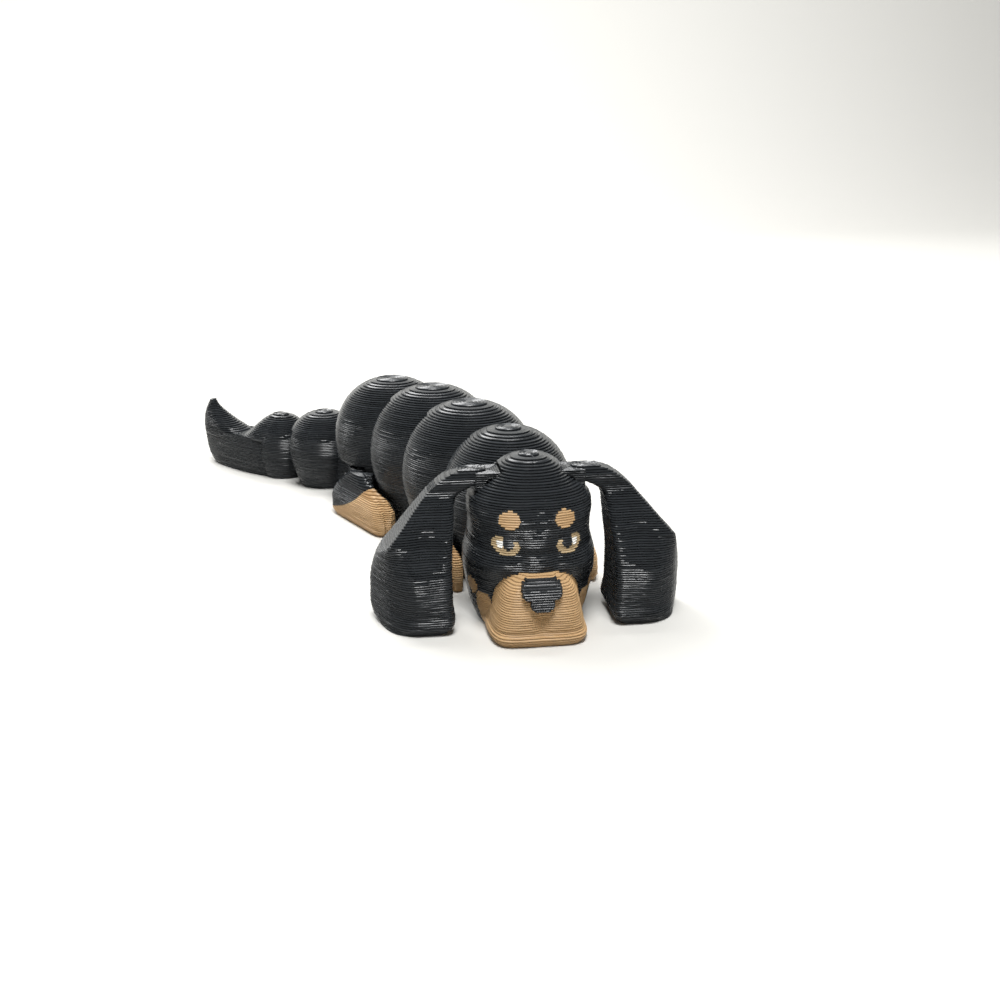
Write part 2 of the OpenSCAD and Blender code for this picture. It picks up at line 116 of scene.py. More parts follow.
# %% [markdown]
# ## Printing a shape in layers
#
# A printer lays down rounded strings 0.2 mm high, so a wall shows a fine ridge for each
# layer, and a dome rises in steps. Displacing a smooth surface would need a very fine mesh
# everywhere. Instead, a grid is rolled into a tube with four rings for each layer: one in
# the groove between two strings and three over the string itself. Every ring takes its
# layer's own outline, so the steps on the domes come by themselves. Where a step is wider
# than one string, more rings draw the strings that lie side by side on it, down to the
# last small circle on top.

# %% A grid rolled into a printed wall
LAYER = 0.2
STRING_W = 0.42
GROOVE = 0.09
STRING = ((0.2, 0.3), (0.5, 0.0), (0.8, 0.3))  # height in the layer, share of the groove
WAVER = 0.012
MERGE = 1e-5
AROUND_BEAD, AROUND_ROOM, AROUND_EYE, AROUND_HOLE, AROUND_POST = 108, 96, 64, 48, 40
uneven = np.random.default_rng(7)


def shrunk(shape, by):
    """An outline moved inwards; shapes run counter-clockwise seen from above."""
    along = np.roll(shape, -1, 0) - np.roll(shape, 1, 0)
    outward = np.stack([along[:, 1], -along[:, 0]], 1)
    length = np.linalg.norm(outward, axis=1, keepdims=True)
    return shape - by * outward / np.maximum(length, 1e-6)


def on_side(shape, side):
    """An outline drawn for +X, mirrored if it belongs on the other side."""
    return shape if side > 0 else (shape * (-1, 1))[::-1]


def wavering(shape):
    """The same outline with the slight in and out of a string that was laid by a nozzle."""
    knots = uneven.normal(0, WAVER, max(8, len(shape) // 6))
    places = np.linspace(0, len(knots), len(shape), endpoint=False)
    offset = np.interp(places, np.arange(len(knots) + 1), np.append(knots, knots[0]))
    return shrunk(shape, offset[:, None])


def tread(wide, narrow, z):
    """Rings over the strings that lie side by side on a step at height z."""
    count = int(np.linalg.norm(wide - narrow, axis=1).max() / STRING_W)
    steps = [(j + t) / (count + 1) for j in range(1, count + 1) for t in (-0.5, 0.0)]
    return [(wide + (narrow - wide) * t, z - 0.5 * LAYER * (k % 2 == 0))
            for k, t in enumerate(steps)]


def printed_rings(outline, bottom, top, groove=GROOVE, treads=True):
    """All rings of a printed wall, as one array of places: ring, point, x y z."""
    first, last = math.ceil(bottom / LAYER - 1e-6), math.floor(top / LAYER + 1e-6)
    shapes = [wavering(outline((k + 0.5) * LAYER)) for k in range(first, last)]
    rings = []
    for k, shape in enumerate(shapes):
        before = shapes[max(0, k - 1)]
        z = (first + k) * LAYER
        if treads:
            rings += tread(shrunk(before, groove), shrunk(shape, groove), z)
        rings.append((shrunk(shape if treads else (shape + before) / 2, groove), z))
        rings += [(shrunk(shape, share * groove), z + t * LAYER) for t, share in STRING]
    rings.append((shrunk(shapes[-1], groove), last * LAYER))
    if treads:
        rings += tread(rings[-1][0], np.full_like(shapes[-1], shapes[-1].mean(0)),
                       last * LAYER)
    return np.array([np.column_stack([ring, np.full(len(ring), z)]) for ring, z in rings])


def grid_through(places):
    """A bmesh grid through the rings' places, with its last column on its first."""
    bm = bmesh.new()
    rings, around, _ = places.shape
    bmesh.ops.create_grid(bm, x_segments=around, y_segments=rings - 1, size=0.5)
    closed = np.concatenate([places, places[:, :1]], axis=1).reshape(-1, 3)
    for vertex, place in zip(bm.verts, closed):
        vertex.co = place
    return bm


def rolled(places):
    """A closed bmesh whose grid is rolled up through the rings' places."""
    bm = grid_through(places)
    bmesh.ops.remove_doubles(bm, verts=bm.verts, dist=MERGE)
    bmesh.ops.holes_fill(bm, edges=[e for e in bm.edges if e.is_boundary], sides=0)
    bmesh.ops.recalc_face_normals(bm, faces=bm.faces)
    return bm


def as_piece(bm, name="part"):
    mesh = bpy.data.meshes.new(name)
    bm.to_mesh(mesh)
    bm.free()
    piece = bpy.data.objects.new(name, mesh)
    bpy.context.scene.collection.objects.link(piece)
    return piece


def printed(outline, bottom, top, name="part", groove=GROOVE):
    treads = groove == GROOVE
    return as_piece(rolled(printed_rings(outline, bottom, top, groove, treads)), name)


# %% [markdown]
# Hollows and joints are cut with solid tools, as in the CAD model. Blender's Manifold
# solver does that quickly and exactly on closed meshes, and the cut walls keep the layer
# lines, because the tools are printed shapes too, with their grooves turned outwards.

# %% Cutting and joining
def combine(piece, tool, how="DIFFERENCE"):
    step = piece.modifiers.new("step", "BOOLEAN")
    step.operation, step.solver, step.object = how, "MANIFOLD", tool
    ready = piece.evaluated_get(bpy.context.evaluated_depsgraph_get())
    shaped = bpy.data.meshes.new_from_object(ready)
    piece.modifiers.clear()
    piece.data = shaped
    bpy.data.objects.remove(tool)


UNDER = -1
HOLE_TOP = 20


def disc(radius, x=0.0, y=0.0, around=AROUND_BEAD):
    angles = np.arange(around) * 2 * math.pi / around
    return np.column_stack([x + radius * np.cos(angles), y + radius * np.sin(angles)])


def post(radius, bottom, top, x=0.0, y=0.0):
    return printed(lambda z: disc(radius, x, y, AROUND_POST), bottom, top)


def hole(radius, x=0.0, y=0.0):
    return printed(lambda z: disc(radius, x, y, AROUND_HOLE), UNDER, HOLE_TOP,
                   groove=-GROOVE)


# %% [markdown]
# ## The spine
#
# Each bead is a solid of revolution with square shoulders that narrows to the floor. Behind
# it, a socket holds a pin, and the ball of the next link turns there. The walls are cut
# back along the path of the next bead, so the row bends without rubbing.

# %% Bead, socket and swing
GAP = 0.35
WALL = 1.1
FLOOR = 1.0
ROOF = 1.2
PITCH = (middle_pin - front_pin).length
BASE_R = 4.4
PIN_R = 1.0
FAR = 30.0
FLARE = 1.6
DOME = 2.2
SPARE_TURN = math.radians(1)


def half_width(z, r, h, base=BASE_R):
    """The radius at height z of a bead of radius r and height h."""
    if z < h / 2:
        return base + (r - base) * (1 - (1 - 2 * z / h) ** FLARE)
    return r * max(0.0, 1 - (2 * z / h - 1) ** DOME) ** (1 / DOME)


def bead(r, h, base=BASE_R, name="part"):
    return printed(lambda z: disc(half_width(z, r, h, base)), 0, h, name)


def socket(r, h, stem=2.7, stem_top=6.4, shrink=0.0, y=0.0):
    """The hollow that a ball turns in or, with shrink, the ball itself."""
    low, mid, top = stem_top + 0.4 * shrink, h / 2 + 0.4 * shrink, h - ROOF - shrink
    stem, wide = stem - shrink, r - WALL - shrink

    def outline(z):
        if z < low:
            return disc(stem, 0, y)
        if z < mid:
            return disc(stem + (wide - stem) * (z - low) / (mid - low), 0, y)
        rise = min(1.0, (z - mid) / (top - mid))
        return disc(max(0.05, wide * (1 - rise**DOME) ** (1 / DOME)), 0, y)

    return printed(outline, FLOOR + shrink, top, groove=GROOVE if shrink else -GROOVE)


def sector(inner, outer, half_angle, y=0.0, count=48):
    """A slice of a ring that opens towards +Y."""
    sweep = np.linspace(-half_angle, half_angle, count)
    arc = np.column_stack([-np.sin(sweep), np.cos(sweep)])
    return np.concatenate([arc * outer, arc[::-1] * inner]) + (0.0, y)


def swing(reach, r, h, half_angle, base=BASE_R, y=0.0):
    """The room that a bead of radius r and height h sweeps, reach behind its pin."""
    def outline(z):
        width = half_width(max(0.0, z), r, h, base) if z < h else 0.0
        return sector(reach - width - GAP, FAR, half_angle, y)

    return printed(outline, UNDER, h + GAP, groove=-GROOVE)


def meet(wall_r, reach, next_r):
    """The angle from +Y at which the next bead meets this bead's wall."""
    return math.acos((wall_r**2 + reach**2 - (next_r + GAP) ** 2) / (2 * wall_r * reach))


print("pitch of the beads:", round(PITCH, 2), "mm")

# %% [markdown]
# Pieces are cut in their own place and then put where their link stands. The last step
# keeps shading smooth over each string but sharp in the grooves and at cut edges.

# %% Put a piece in place
SHARP_ANGLE = math.radians(48)


def put(piece, link, body, slot, *nodes):
    spot, turn = links[link]
    piece.data.transform(Matrix.Scale(MM, 4) @ Matrix.Translation(spot) @ turned(turn))
    finish_piece(piece, body, slot, *nodes)


def finish_piece(piece, body, slot, *nodes):
    piece.data.shade_smooth()
    piece.data.set_sharp_from_angle(angle=SHARP_ANGLE)
    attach(piece, body)
    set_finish(piece, slot)
    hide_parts(*nodes)
    faces = sum(len(p.vertices) - 2 for p in piece.data.polygons)
    print(f"{piece.name}: {faces} triangles, {time.time() - started:.1f} s")


# %% [markdown]
# The chest and the hips also carry the legs: a pin stands on each side in a pocket that
# leaves room for the eye of the leg and for its swing.

# %% Leg pins and their pockets
LEG_SIDE = 5.2
LEG_PIN_R = 0.6
LEG_EYE_R = 1.5
LEG_H = 5.3
PIN_FOOT_R = LEG_PIN_R + 0.8
PIN_FOOT_H = FLOOR - 0.1
LEG_OPENING = (-60, 95)
LEG_ROOM_REACH = 6


def evenly(corners, count=96):
    """Evenly spaced points along a closed outline."""
    loop = np.concatenate([corners, corners[:1]])
    along = np.concatenate([[0], np.cumsum(np.linalg.norm(np.diff(loop, axis=0), axis=1))])
    even = np.linspace(0, along[-1], count, endpoint=False)
    return np.column_stack([np.interp(even, along, loop[:, i]) for i in (0, 1)])


def side_slice(side, y):
    """A slice round a leg pin that opens sideways, seen from above."""
    sweep = np.radians(np.linspace(*LEG_OPENING, 24))
    arc = np.column_stack([np.cos(sweep), np.sin(sweep)]) * LEG_ROOM_REACH
    shape = evenly(np.concatenate([arc, [(0, 0)]]), 72)
    return on_side(shape, side) + (side * LEG_SIDE, y)


def leg_roots(piece, y):
    """Cut the pocket of each leg at y into a bead, and stand its pin in it."""
    for side in (1, -1):
        x = side * LEG_SIDE
        combine(piece, printed(lambda z: disc(LEG_EYE_R + GAP, x, y, AROUND_EYE),
                               PIN_FOOT_H, LEG_H + GAP, groove=-GROOVE))
        combine(piece, printed(lambda z: side_slice(side, y),
                               PIN_FOOT_H, LEG_H + GAP, groove=-GROOVE))
        combine(piece, post(LEG_PIN_R, 0, LEG_H + 1, x, y), "UNION")
        combine(piece, post(PIN_FOOT_R, 0, PIN_FOOT_H, x, y), "UNION")


# %% The four beads of the spine
CHEST = (6.5, 15.0)
MIDDLE = (7.2, 15.7)
HIPS = (7.0, 15.1)
SPINE_TURN = math.radians(20)
NECK_SOCKET = (5.85, 11.6, 2.7, 4.6)
NECK_REACH = neck.length


def ball(size, reach, bore):
    """The ball that turns in a socket of this size, reach in front of the link."""
    piece = socket(*size, shrink=GAP, y=-reach)
    combine(piece, hole(bore + GAP, 0, -reach))
    return piece


def cup(name, size, behind, front_ball):
    """A bead with its ball in front and the socket for the next link behind."""
    piece = bead(*size, name=name)
    combine(piece, front_ball, "UNION")
    combine(piece, socket(*size))
    room = meet(size[0] - WALL, PITCH, behind[0]) + SPINE_TURN + SPARE_TURN
    combine(piece, swing(PITCH, *behind, room))
    combine(piece, post(PIN_R, FLOOR / 2, size[1] - ROOF / 2), "UNION")
    return piece


chest = cup("chest_bead", CHEST, MIDDLE, ball(NECK_SOCKET, NECK_REACH, PIN_R))
leg_roots(chest, 0.0)
put(chest, "chest", "chest", "black_filament", "chest")
mid_front = cup("front_middle_bead", MIDDLE, MIDDLE, ball(CHEST, PITCH, PIN_R))
put(mid_front, "mid_front", "mid_front", "black_filament", "mid_front")
mid_rear = cup("rear_middle_bead", MIDDLE, HIPS, ball(MIDDLE, PITCH, PIN_R))
put(mid_rear, "mid_rear", "mid_rear", "black_filament", "mid_rear")

# %% [markdown]
# The hips and the tail base work the same way with lower sockets, and their necks pass
# through slots in the walls.

# %% Hips and tail base
TAIL_SOCKET = (5.3, 9.6)
TAIL_STEM = (TAIL_SOCKET[0] - WALL, 3.0)
TAIL_NECK = (4.4, FLOOR + GAP, 6.6)
TAIL_REACH = (tip_pin - tail_pin).length
TAIL_BEAD = (4.7, 9.4)
TAIL_BASE_R = 3.4
TAIL_TURN = math.radians(26)
HIND_PIN_Y = -1.5


def block(x0, x1, y0, y1):
    return evenly(np.array([(x0, y0), (x1, y0), (x1, y1), (x0, y1)], float))


hips = bead(*HIPS, name="hip_bead")
combine(hips, ball(MIDDLE, PITCH, PIN_R), "UNION")
leg_roots(hips, HIND_PIN_Y)
combine(hips, socket(*TAIL_SOCKET, *TAIL_STEM, y=TAIL_BACK))
tail_room = meet(HIPS[0] - 1, TAIL_REACH, TAIL_BEAD[0]) + TAIL_TURN + SPARE_TURN
combine(hips, swing(TAIL_REACH, *TAIL_BEAD, tail_room, TAIL_BASE_R, TAIL_BACK))
slot_r = TAIL_STEM[0] - 0.8
slot_angle = math.asin(TAIL_NECK[0] / 2 / slot_r) + TAIL_TURN + 5 * SPARE_TURN
combine(hips, printed(lambda z: sector(slot_r, FAR, slot_angle, TAIL_BACK),
                      FLOOR, TAIL_NECK[2] + GAP, groove=-GROOVE))
combine(hips, post(PIN_R, FLOOR / 2, TAIL_SOCKET[1], 0, TAIL_BACK), "UNION")
put(hips, "hips", "hips", "black_filament", "hips")

TIP_STEM = (2.1, 2.8)
TIP_PIN_R = 0.7
TIP_NECK = (2.6, 4.0, 6.6)
HUMP = (3.4, 8.2)
HUMP_BASE_R = 2.6
HUMP_REACH = 7.0
tail_base = bead(*TAIL_BEAD, TAIL_BASE_R, name="tail_bead")
combine(tail_base, socket(*TAIL_SOCKET, *TAIL_STEM, shrink=GAP, y=-TAIL_REACH), "UNION")
half_neck = TAIL_NECK[0] / 2
combine(tail_base, printed(lambda z: block(-half_neck, half_neck, -TAIL_REACH, 0),
                           TAIL_NECK[1], TAIL_NECK[2]), "UNION")
combine(tail_base, hole(PIN_R + GAP, 0, -TAIL_REACH))
combine(tail_base, socket(*TAIL_BEAD, *TIP_STEM))
tip_room = meet(TAIL_BEAD[0], HUMP_REACH, HUMP[0]) + TAIL_TURN + SPARE_TURN
combine(tail_base, swing(HUMP_REACH, *HUMP, tip_room, HUMP_BASE_R))
combine(tail_base, printed(lambda z: sector(TIP_STEM[0], FAR, tip_room),
                           TIP_NECK[1] - GAP, TIP_NECK[2] + GAP, groove=-GROOVE))
combine(tail_base, post(TIP_PIN_R, FLOOR / 2, TAIL_BEAD[1] - ROOF / 2), "UNION")
put(tail_base, "tail_base", "tail_base", "black_filament", "tail_base")

# %% [markdown]
# The tail tip is a hump that sinks into a saddle and then turns up into a blunt point. Seen
# from the side it has one island in the low layers and two above the saddle, and a printed
# shape can only have one, so the hump, its slope and the point are joined afterwards.

# %% Curves through a few sizes, and rounded outlines
def curve(table, z):
    """A smooth curve through pairs of height and size."""
    zs, sizes = np.array(table, float).T
    slopes = np.gradient(sizes, zs)
    k = int(np.clip(np.searchsorted(zs, z) - 1, 0, len(zs) - 2))
    span = zs[k + 1] - zs[k]
    t = float(np.clip((z - zs[k]) / span, 0, 1))
    return ((2 * t**3 - 3 * t**2 + 1) * sizes[k] + (t**3 - 2 * t**2 + t) * span * slopes[k]
            + (3 * t**2 - 2 * t**3) * sizes[k + 1] + (t**3 - t**2) * span * slopes[k + 1])


def rounded(corners, radii, count=128):
    """An outline whose corners are rounded, each by its own reach along the sides."""
    corners = np.array(corners, float)
    t = np.linspace(0, 1, 7)[:, None]
    shape = []
    for corner, before, after, radius in zip(corners, np.roll(corners, 1, 0),
                                             np.roll(corners, -1, 0), radii):
        ends = []
        for other in (before, after):
            side = np.linalg.norm(other - corner) + 1e-9
            ends.append(corner + (other - corner) * min(radius / side, 0.48))
        shape.append((1 - t)**2 * ends[0] + 2 * t * (1 - t) * corner + t**2 * ends[1])
    return evenly(np.concatenate(shape), count)


# %% Tail tip
TIP_REACH = 21.1
POINT_FOOT = 4.2
POINT_TOP = 8.8
SADDLE = 5
tip_back = [(0, 19.6), (0.6, 20.2), (2.6, 20.95), (4.2, 21.1), (6.0, 20.95), (7.4, 20.5),
            (8.2, 20.05), (8.8, 19.5)]
hump_slope = [(5.0, 13.0), (5.6, 11.9), (6.2, 11.1), (7.0, 10.1), (7.6, 9.3), (8.2, 8.2)]
tip_front = [(4.2, 12.0), (5.0, 13.6), (5.4, 14.5), (6.1, 15.9), (7.0, 17.3), (7.6, 18.0),
             (8.2, 18.55), (8.8, 19.05)]


def tail_run(y0, y1, width=1.0, count=64):
    """An outline that follows the narrowing tail from y0 to y1, with rounded ends."""
    share = (1 - np.cos(np.linspace(0, math.pi, count))) / 2
    y = y0 + (y1 - y0) * share
    along = np.clip((y - HUMP_REACH + 1) / (TIP_REACH - HUMP_REACH + 1), 0, 1)
    half = width * (0.5 + (HUMP[0] - 0.52) * np.cos(np.radians(80) * along))
    half *= (1 - np.abs(2 * share - 1) ** 3.2) ** 0.5
    right, left = np.column_stack([half, y]), np.column_stack([-half, y])
    return np.concatenate([right[:-1], left[:0:-1]])


def tail_low(z):
    """The layers of the hump and of its slope down to the saddle."""
    width = half_width(z, *HUMP, HUMP_BASE_R) / HUMP[0]
    return tail_run(HUMP_REACH - 2 * width,
                    curve(tip_back, z) if z < SADDLE else curve(hump_slope, z), width)


def tail_high(z):
    """The layers of the point that turns up behind the saddle."""
    width = max(0.35, 1 - ((max(z, POINT_FOOT) - POINT_FOOT) / 4.8) ** DOME)
    return tail_run(curve(tip_front, z), curve(tip_back, z), width)


tail_tip = printed(tail_low, 0, HUMP[1], "tail_tip_print")
combine(tail_tip, printed(tail_high, POINT_FOOT, POINT_TOP), "UNION")
combine(tail_tip, printed(lambda z: disc(half_width(z, *HUMP, HUMP_BASE_R), 0, HUMP_REACH),
                          0, HUMP[1]), "UNION")
combine(tail_tip, socket(*TAIL_BEAD, *TIP_STEM, shrink=GAP), "UNION")
half_neck = TIP_NECK[0] / 2
combine(tail_tip, printed(lambda z: block(-half_neck, half_neck, 0, HUMP_REACH),
                          TIP_NECK[1], TIP_NECK[2]), "UNION")
combine(tail_tip, hole(TIP_PIN_R + GAP))
put(tail_tip, "tail_tip", "tail_tip", "black_filament", "tail_tip")

# %% [markdown]
# ## Legs
#
# A leg is a low block with a round eye that turns on the bead's pin. A black cuff covers its
# rear, and the tan paw shows in front of a line that rises towards the toes. Both colours
# are cut from one printed solid, so their layers meet exactly.

# %% Legs and paws
CORNER = 1.8
LEG_ROOM_TOP = 12
TAN_TOP = 8


def toe_creases(shape, out, front):
    """Two shallow creases between the toes, at the front of the paw."""
    width = out - LEG_SIDE
    crease = sum(np.exp(-((np.abs(shape[:, 0]) - LEG_SIDE - share * width) / 0.2) ** 2)
                 for share in (0.36, 0.7))
    near = np.clip((front + 1.4 - shape[:, 1]) / 1.2, 0, 1)
    return shape + np.column_stack([np.zeros(len(shape)), 0.4 * crease * near])


def limb(side, out, reach, heel, profile):
    """The solid of a leg; profile gives how far each height reaches forwards."""
    def outline(z):
        front = -curve(profile, z) * reach
        sunk = (max(0.0, z - LEG_H + 3.4) / 3.4) ** 2 + 0.3 * max(0.0, 0.6 - z)
        back, wide = heel - 2.4 * sunk, out - CORNER * sunk
        shape = rounded([(LEG_SIDE, front), (wide, front), (wide, back), (LEG_SIDE, back)],
                        (0.5, 2.0, 2.2, 0.4), 112)
        return on_side(toe_creases(shape, out, front), side)

    return printed(outline, 0, LEG_H)


def leg_pair(name, side, pin_y, out, reach, heel, profile, tan_line, rooms):
    """The black cuff and the tan toes of a leg, cut from one limb at the tan line."""
    leg = limb(side, out, reach, heel, profile)
    for r, y, x in rooms:
        combine(leg, printed(lambda z: disc(r, side * x, y, AROUND_ROOM),
                             UNDER, LEG_ROOM_TOP, groove=-GROOVE))
    x = side * LEG_SIDE
    combine(leg, printed(lambda z: disc(LEG_EYE_R, x, pin_y, AROUND_EYE),
                         FLOOR + GAP, LEG_H), "UNION")
    inner, outer = sorted((x, side * (out - CORNER)))
    combine(leg, printed(lambda z: block(inner, outer, pin_y - 1.2, pin_y + 0.8),
                         FLOOR + GAP, LEG_H - 0.6), "UNION")
    combine(leg, hole(LEG_PIN_R + GAP, x, pin_y))
    combine(leg, printed(lambda z: disc(PIN_FOOT_R + GAP, x, pin_y, AROUND_EYE),
                         UNDER, PIN_FOOT_H + GAP, groove=-GROOVE))
    paw = leg.copy()
    paw.data = leg.data.copy()
    bpy.context.scene.collection.objects.link(paw)
    for piece, how in ((leg, "DIFFERENCE"), (paw, "INTERSECT")):
        combine(piece, printed(lambda z: block(-FAR, FAR, -FAR, curve(tan_line, z)),
                               UNDER, TAN_TOP, groove=0.0), how)
    leg.name, paw.name = name + "_cuff", name + "_toes"
    return leg, paw


def bead_room(size, y=0.0, x=0.0):
    """The radius and the place of the room that a leg leaves for a bead."""
    return half_width(LEG_H, *size) + GAP, y, x


HIND = dict(pin_y=HIND_PIN_Y, out=9.0, reach=12.2, heel=HIND_PIN_Y + 2,
            profile=[(0, 0.975), (0.4, 1), (2, 1), (3.2, 0.93), (4.0, 0.82), (4.4, 0.66),
                     (4.9, 0.5), (5.3, 0.4)],
            tan_line=[(-1, 1.5), (0, 0.8), (0.8, -0.6), (1.5, -3.0), (2.6, -5.6),
                      (4.6, -7.8), (8, -10)])
FORE = dict(pin_y=0.0, out=8.4, reach=4.8, heel=1.0,
            profile=[(0, 0.95), (0.4, 1), (2, 1), (3.2, 0.84), (4.2, 0.6), (5.3, 0.5)],
            tan_line=[(-1, -1.5), (0.5, -1.6), (2.2, -2.2), (5, -2.6), (8, -2.8)])
turned_back = turned(SPINE_TURN) @ Vector((0, -PITCH, 0))
hind_rooms = [bead_room(HIPS), bead_room(MIDDLE, -PITCH),
              bead_room(MIDDLE, -PITCH + turned_back.y, turned_back.x)]
for side, word in ((1, "left"), (-1, "right")):
    for end, link, shape, rooms in (("hind", "hips", HIND, hind_rooms),
                                    ("front", "chest", FORE, [bead_room(CHEST)])):
        name = f"{end}_{word}"
        leg, paw = leg_pair(name, side, rooms=rooms, **shape)
        put(leg, link, name + "_leg", "black_filament", name + "_leg")
        put(paw, link, name + "_leg", "tan_filament", name + "_paw")

# %% [markdown]
# ## Ears
#
# An ear arches out of a barrel beside the crown and hangs to the floor as a thick flap. Seen
# from above it is a block with a long slanted side, so each layer is a rounded five-sided
# outline whose corners slide with height. Soft folds on the flap bend the strings.

# %% Ear
BARREL_X = 3.3
BARREL_Z = 12.4
BARREL_R = 1.3
BARREL_L = 2.8
EAR_PIN_R = 0.5
EAR_BORE_L = 20
EAR_H = 13.8
SHOULDER = 11.6
ear_outer = [(0, 13.5), (0.3, 13.9), (0.9, 14.2), (2.6, 14.3), (5.2, 14.05), (7.2, 13.3),
             (8.8, 11.9), (11.0, 10.0), (12.4, 8.7), (13.0, 7.95), (13.4, 7.3), (13.8, 6.1)]
ear_inner = [(0, 7.7), (0.5, 7.3), (3, 7.2), (6.5, 7.15), (8.5, 6.95), (10, 6.8), (11, 6.65),
             (11.6, 6.35), (12.1, 5.6), (12.5, 4.7), (12.8, 4.0), (13.4, 3.5), (13.8, 3.9)]
ear_front = [(0, -4.5), (0.4, -4.85), (1.8, -4.9), (5, -4.5), (9, -3.1), (11.9, -1.4),
             (12.7, -1.38), (13.2, -1.3), (13.5, -1.1), (13.8, -0.7)]
ear_back = [(0, 0.4), (0.6, 0.9), (3, 0.9), (6, 0.9), (10, 1.35), (12.7, 1.35),
            (13.2, 1.3), (13.5, 1.1), (13.8, 0.7)]
FACET = (12.0, -4.9, 14.4, 0.3)


def facet_x(y):
    """Where the slanted side of the ear is at y; facet_y is the other way round."""
    return FACET[0] + (y - FACET[1]) * (FACET[2] - FACET[0]) / (FACET[3] - FACET[1])


def facet_y(x):
    return FACET[1] + (x - FACET[0]) * (FACET[3] - FACET[1]) / (FACET[2] - FACET[0])


def ear_outline(z, side):
    out, front, back = curve(ear_outer, z), curve(ear_front, z), curve(ear_back, z)
    inner = curve(ear_inner, z)
    turn_x = min(out - 0.1, facet_x(front))
    turn_y = min(max(facet_y(out), front + 0.1), back - 0.6)
    shape = rounded([(inner, front), (turn_x, front), (out, turn_y), (out, back),
                     (inner, back)], (0.9, 3.4, 3.0, 1.4, 0.7), 176)
    x = shape[:, 0]
    folds = (0.4 * np.exp(-((x - 10.6) / 1.8) ** 2 - ((z - 4.6) / 2.2) ** 2)
             - 0.36 * np.exp(-((x - 9.4) / 1.3) ** 2 - ((z - 8.2) / 1.6) ** 2)
             - 0.22 * np.exp(-((x - 12.4) / 1.0) ** 2 - ((z - 3.0) / 1.6) ** 2))
    share = np.clip((back - shape[:, 1]) / (back - front), 0, 1) ** 3
    shape[:, 1] -= folds * share * min(1.0, z / 1.2)
    return on_side(shape, side)


def barrel(side):
    """The round end of an ear, which fills the slot in the skull."""
    def outline(z):
        half = math.sqrt(max(0.01, BARREL_R**2 - (z - BARREL_Z) ** 2))
        reach = max(half, 1.6) if z > SHOULDER + GAP else half
        inner, outer = sorted((side * (BARREL_X - half), side * (BARREL_X + reach)))
        return block(inner, outer, -BARREL_L / 2, BARREL_L / 2)

    return printed(outline, BARREL_Z - BARREL_R, BARREL_Z + BARREL_R)


def lying_pin(radius, length, x):
    """A round bar that lies along Y at the height of the ear pins."""
    bm = bmesh.new()
    bmesh.ops.create_cone(bm, cap_ends=True, segments=32, radius1=radius, radius2=radius,
                          depth=length)
    bmesh.ops.rotate(bm, verts=bm.verts, matrix=Matrix.Rotation(math.pi / 2, 3, "X"))
    bmesh.ops.translate(bm, verts=bm.verts, vec=(x, 0, BARREL_Z))
    return as_piece(bm)


for side, word in ((1, "left"), (-1, "right")):
    ear = printed(lambda z: ear_outline(z, side), 0, EAR_H, word + "_ear_flap")
    combine(ear, barrel(side), "UNION")
    combine(ear, lying_pin(EAR_PIN_R + 0.7 * GAP, EAR_BORE_L, side * BARREL_X))
    put(ear, "head", word + "_ear", "black_filament", word + "_ear")

# %% [markdown]
# ## Head
#
# The head is printed standing on its jaw, so it too is a stack of outlines. Each outline is
# a distance from the skull's axis for every direction: a soft skull, a muzzle block in
# front and small hills for brows, lids, cheeks and lips. The colours change along each
# layer, as they do on the real print: where a spot or the muzzle lies, the black shell
# steps back, and a thin patch of the other colour, cut from the same grid, fills it.

# %% Directions round the skull, closer together over the face
AROUND_HEAD = 208
HEAD_H = 15.0
SKULL_R = 5.95
MUZZLE_TOP = 6.1
steps = np.arange(AROUND_HEAD) / AROUND_HEAD - 0.5
face_way = 2 * math.pi * steps - 0.55 * np.sin(2 * math.pi * steps)
face_step = np.roll(face_way, -1)
face_step[-1] += 2 * math.pi
between_ways = (face_way + face_step) / 2

skull_side = [(0, 4.7), (1, 5.15), (2.3, 5.5), (4, 5.8), (5.5, 5.95), (6.6, 5.85), (7.6, 5.6),
              (8.4, 5.45), (9.4, 5.45), (10.4, 5.55), (11.2, 5.5), (11.8, 5.25), (12.4, 4.75),
              (13, 3.95), (13.6, 3.25), (14.2, 2.55), (14.6, 1.9), (14.85, 1.2), (15, 0.4)]
skull_front = [(0, 4.7), (1, 5.15), (2.3, 5.5), (5, 5.9), (6, 6.2), (6.6, 6.2), (7.4, 6.0),
               (8.4, 5.8), (9.5, 5.55), (10.6, 5.2), (11.6, 4.75), (12.5, 4.15), (13.3, 3.5),
               (14.0, 2.75), (14.5, 2.0), (14.8, 1.3), (15, 0.5)]
skull_back = [(0, 4.7), (2.3, 5.5), (5, 5.8), (8, 5.9), (9.5, 5.6), (10.6, 5.1), (11.6, 4.6),
              (12.5, 4.05), (13.5, 3.3), (14.2, 2.5), (14.6, 1.8), (14.9, 1.0), (15, 0.5)]
muzzle_half = [(0, 4.0), (0.3, 4.25), (0.94, 4.3), (1.06, 4.2), (1.6, 4.1), (2.4, 3.92),
               (3.4, 3.68), (4.4, 3.42), (5.0, 3.1), (5.5, 2.6), (5.8, 2.0), (6.1, 0.9)]
muzzle_reach = [(0, 7.95), (0.3, 8.15), (0.94, 8.2), (1.06, 8.08), (1.6, 8.0), (3, 7.82),
                (4, 7.65), (4.8, 7.4), (5.4, 7.0), (5.9, 6.5), (6.4, 6.2), (7, 6.0)]


# %% The surface of the head
def hill(x, z, at, size, lean=0.0):
    """A soft hill in the face, seen from the front; a lean tips it down outwards."""
    dx = np.abs(x) - at[0]
    dz = z - at[1] + lean * dx
    return np.exp(-((dx / size[0]) ** 2) - (dz / size[1]) ** 2)


